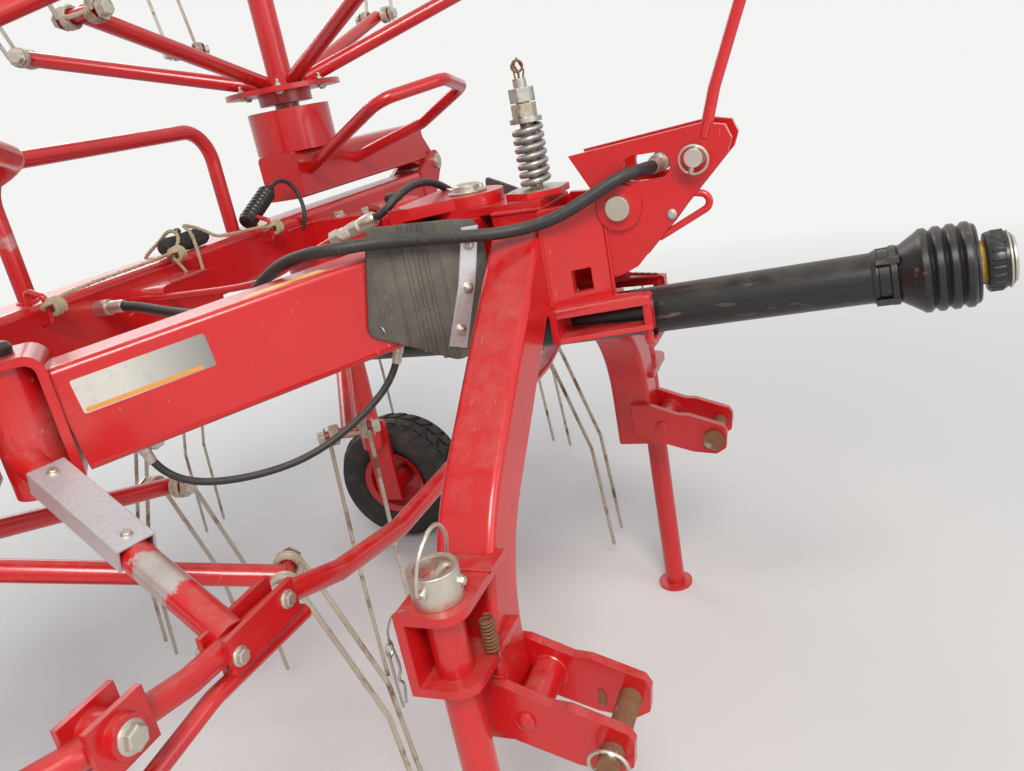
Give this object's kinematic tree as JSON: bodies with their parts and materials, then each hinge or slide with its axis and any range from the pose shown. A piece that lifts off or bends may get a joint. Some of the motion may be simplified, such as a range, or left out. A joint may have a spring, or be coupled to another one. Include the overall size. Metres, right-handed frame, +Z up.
{
  "type": "hay tedder",
  "caption": "Mounted rotary hay tedder with folding wings, sprung tines, a swivelling three-point headstock, a drive shaft and parking stands.",
  "frame": {"origin": "on the floor under the middle of the parked machine's bounding box", "axes": "+X across the machine to its far side, +Y to its rear, away from the tractor, +Z up"},
  "size_m": [2.65, 2.1582, 2.0599],
  "materials": {
    "red_paint": "gloss",
    "yellow_paint": "satin",
    "zinc": "zinc plated",
    "rusty_steel": "rusty",
    "spring_steel": "dull",
    "black_plastic": "matte",
    "rubber": "dusty",
    "tyre": "matte"
  },
  "bodies": {
    "frame": {"main_beam": "red_paint", "side_arms": "red_paint", "columns": "red_paint", "nose": "red_paint", "hoop": "red_paint", "gearbox": "red_paint", "rear_shaft": "black_plastic", "hinge_pins": "zinc", "inner_guards": "red_paint", "gearcases_inner": "red_paint", "stay_covers": "zinc", "rope_hooks": "red_paint", "low_hose": "rubber", "hose_ends": "zinc"},
    "headstock": {"arch": "red_paint", "mast_plates": "red_paint", "top_link_pin": "zinc", "mast_cross_pin": "zinc", "tray": "red_paint", "lower_lug": "red_paint", "upper_lug": "red_paint", "swivel_pin": "zinc", "clevises": "red_paint", "hitch_pins": "rusty_steel", "stand_brackets": "red_paint", "brake_rod": "zinc", "hose_guide": "red_paint", "flaps": "rubber", "flap_strips": "zinc", "brake_spring": "spring_steel", "shaft_guard": "black_plastic", "main_hose": "rubber", "hose_coupling": "zinc"},
    "shaft_yoke": {"shaft_yoke": "yellow_paint"},
    "stand_near": {"stand_near": "red_paint", "stand_collar_near": "zinc"},
    "wing_near": {"wing_beam_near": "red_paint", "wing_guard_near": "red_paint", "gearcase_near_outer": "red_paint"},
    "stand_far": {"stand_far": "red_paint", "stand_collar_far": "zinc"},
    "wing_far": {"wing_beam_far": "red_paint", "wing_guard_far": "red_paint", "gearcase_far_outer": "red_paint"},
    "rotor_near_inner": {"rotor_near_inner": "red_paint", "tines_near_inner": "spring_steel"},
    "wheel_near_inner": {"rim_near_inner": "red_paint", "tyre_near_inner": "tyre"},
    "rotor_near_outer": {"rotor_near_outer": "red_paint", "tines_near_outer": "spring_steel"},
    "wheel_near_outer": {"rim_near_outer": "red_paint", "tyre_near_outer": "tyre"},
    "rotor_far_inner": {"rotor_far_inner": "red_paint", "tines_far_inner": "spring_steel"},
    "wheel_far_inner": {"rim_far_inner": "red_paint", "tyre_far_inner": "tyre"},
    "rotor_far_outer": {"rotor_far_outer": "red_paint", "tines_far_outer": "spring_steel"},
    "wheel_far_outer": {"rim_far_outer": "red_paint", "tyre_far_outer": "tyre"}
  },
  "joints": [
    {"name": "headstock_swivel", "type": "hinge", "parent": "frame", "child": "headstock", "pos_m": [0, -0.32881, 0.962], "axis": [0, 0, 1], "range_deg": [-10, 10], "deforming": ["flaps", "flap_strips", "main_hose"]},
    {"name": "shaft_yoke_spin", "type": "hinge", "parent": "headstock", "child": "shaft_yoke", "pos_m": [0, -0.99933, 0.87754], "axis": [0, 0.9978, -0.0663], "continuous": true},
    {"name": "stand_slide_near", "type": "slide", "parent": "headstock", "child": "stand_near", "axis": [0, 0, 1], "range_m": [0, 0.3]},
    {"name": "wing_fold_near", "type": "hinge", "parent": "frame", "child": "wing_near", "pos_m": [-1.29, 0.40119, 1.03], "axis": [0, -1, 0], "range_deg": [0, 180]},
    {"name": "stand_slide_far", "type": "slide", "parent": "headstock", "child": "stand_far", "axis": [0, 0, 1], "range_m": [0, 0.3]},
    {"name": "wing_fold_far", "type": "hinge", "parent": "frame", "child": "wing_far", "pos_m": [1.29, 0.40119, 1.03], "axis": [0, 1, 0], "range_deg": [0, 180]},
    {"name": "rotor_spin_near_inner", "type": "hinge", "parent": "frame", "child": "rotor_near_inner", "pos_m": [-0.645, 0.40119, 0.76], "axis": [0, 0, 1], "continuous": true},
    {"name": "wheel_spin_near_inner", "type": "hinge", "parent": "frame", "child": "wheel_near_inner", "pos_m": [-0.757, 0.40119, 0.185], "axis": [1, 0, 0], "continuous": true},
    {"name": "rotor_spin_near_outer", "type": "hinge", "parent": "wing_near", "child": "rotor_near_outer", "pos_m": [-0.645, 0.40119, 1.3], "axis": [0, 0, 1], "continuous": true},
    {"name": "wheel_spin_near_outer", "type": "hinge", "parent": "wing_near", "child": "wheel_near_outer", "pos_m": [-0.533, 0.40119, 1.875], "axis": [1, 0, 0], "continuous": true},
    {"name": "rotor_spin_far_inner", "type": "hinge", "parent": "frame", "child": "rotor_far_inner", "pos_m": [0.645, 0.40119, 0.76], "axis": [0, 0, 1], "continuous": true},
    {"name": "wheel_spin_far_inner", "type": "hinge", "parent": "frame", "child": "wheel_far_inner", "pos_m": [0.757, 0.40119, 0.185], "axis": [1, 0, 0], "continuous": true},
    {"name": "rotor_spin_far_outer", "type": "hinge", "parent": "wing_far", "child": "rotor_far_outer", "pos_m": [0.645, 0.40119, 1.3], "axis": [0, 0, 1], "continuous": true},
    {"name": "wheel_spin_far_outer", "type": "hinge", "parent": "wing_far", "child": "wheel_far_outer", "pos_m": [0.533, 0.40119, 1.875], "axis": [1, 0, 0], "continuous": true}
  ],
  "couplings": [
    {"joint": "rotor_spin_far_inner", "follows": "rotor_spin_near_inner", "ratio": -1},
    {"joint": "rotor_spin_near_outer", "follows": "rotor_spin_near_inner", "ratio": 1},
    {"joint": "rotor_spin_far_outer", "follows": "rotor_spin_near_inner", "ratio": -1},
    {"joint": "shaft_yoke_spin", "follows": "rotor_spin_near_inner", "ratio": 3.5}
  ]
}
